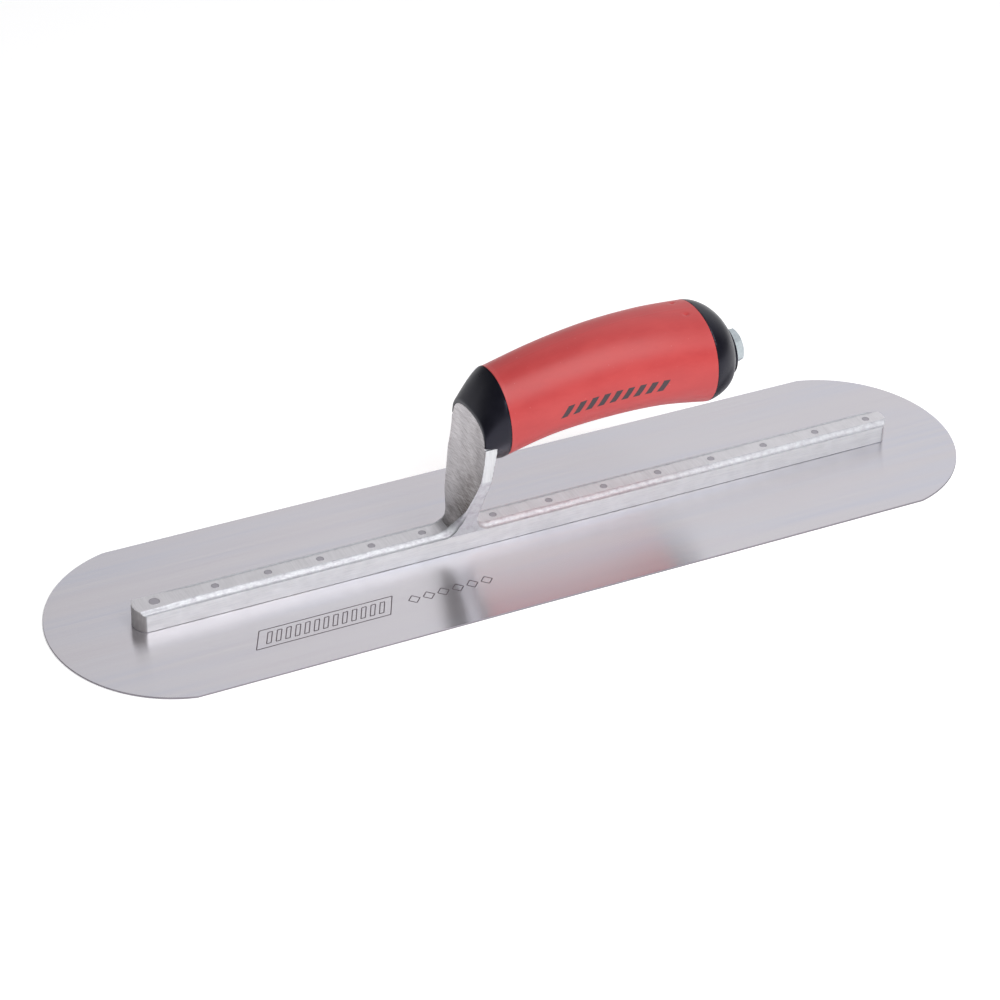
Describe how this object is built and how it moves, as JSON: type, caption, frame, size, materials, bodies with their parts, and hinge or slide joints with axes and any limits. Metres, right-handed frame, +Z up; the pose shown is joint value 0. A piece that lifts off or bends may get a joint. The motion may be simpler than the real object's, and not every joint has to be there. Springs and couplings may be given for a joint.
{
  "type": "steel finishing trowel",
  "caption": "Round-ended steel finishing trowel: thin flat blade riveted to a cast aluminium mounting, with a soft-grip handle held by one long bolt.",
  "frame": {"origin": "middle of the blade's flat underside", "axes": "+X along the blade towards the handle's bolt, +Y across the blade, +Z up from the blade to the handle"},
  "size_m": [0.4064, 0.1016, 0.089],
  "materials": {
    "blade_steel": "satin, ground lengthwise",
    "cast_aluminium": "as cast, with belt-ground faces",
    "rivet_metal": "ground flush",
    "hard_black": "moulded, satin",
    "soft_grip": "soft, matte",
    "plug_black": "moulded, satin",
    "zinc_plate": "bright zinc plated"
  },
  "bodies": {
    "root": {"blade": "blade_steel", "mounting": "cast_aluminium", "rivet_01": "rivet_metal", "rivet_02": "rivet_metal", "rivet_03": "rivet_metal", "rivet_04": "rivet_metal", "rivet_05": "rivet_metal", "rivet_06": "rivet_metal", "rivet_07": "rivet_metal", "rivet_08": "rivet_metal", "rivet_09": "rivet_metal", "rivet_10": "rivet_metal", "rivet_11": "rivet_metal", "rivet_12": "rivet_metal", "rivet_13": "rivet_metal", "rivet_14": "rivet_metal", "handle_core": "hard_black", "grip_sleeve": "soft_grip", "end_plug": "plug_black", "handle_bolt": "zinc_plate"}
  },
  "joints": []
}
